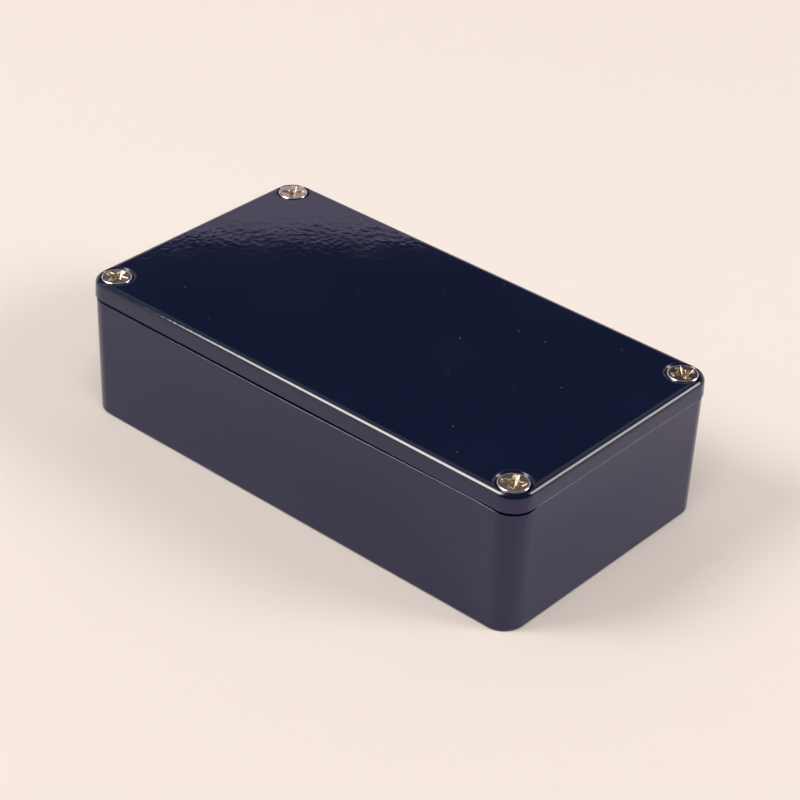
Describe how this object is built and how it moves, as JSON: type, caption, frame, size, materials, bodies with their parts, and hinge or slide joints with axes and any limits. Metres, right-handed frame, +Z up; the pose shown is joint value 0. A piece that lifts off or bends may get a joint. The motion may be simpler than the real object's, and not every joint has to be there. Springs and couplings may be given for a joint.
{
  "type": "die cast aluminium box",
  "caption": "Small rectangular die cast box with a flat screwed-on lid, painted gloss navy blue, for housing an electronic circuit.",
  "frame": {"origin": "middle of the underside, at the height of the surface that the box stands on", "axes": "+X along the length, +Y along the width towards the back, +Z up out of the lid"},
  "size_m": [0.1124, 0.0604, 0.031],
  "materials": {
    "painted_casting": "gloss",
    "plated_screw": "polished"
  },
  "bodies": {
    "base": {"base": "painted_casting"},
    "lid": {"lid": "painted_casting"},
    "screw_front_left": {"screw_front_left": "plated_screw"},
    "screw_front_right": {"screw_front_right": "plated_screw"},
    "screw_back_left": {"screw_back_left": "plated_screw"},
    "screw_back_right": {"screw_back_right": "plated_screw"}
  },
  "joints": [
    {"name": "lid_lift", "type": "slide", "parent": "base", "child": "lid", "axis": [0, 0, 1], "range_m": [0, 0.035]},
    {"name": "screw_front_left_out", "type": "slide", "parent": "lid", "child": "screw_front_left", "axis": [0, 0, 1], "range_m": [0, 0.014]},
    {"name": "screw_front_right_out", "type": "slide", "parent": "lid", "child": "screw_front_right", "axis": [0, 0, 1], "range_m": [0, 0.014]},
    {"name": "screw_back_left_out", "type": "slide", "parent": "lid", "child": "screw_back_left", "axis": [0, 0, 1], "range_m": [0, 0.014]},
    {"name": "screw_back_right_out", "type": "slide", "parent": "lid", "child": "screw_back_right", "axis": [0, 0, 1], "range_m": [0, 0.014]}
  ]
}
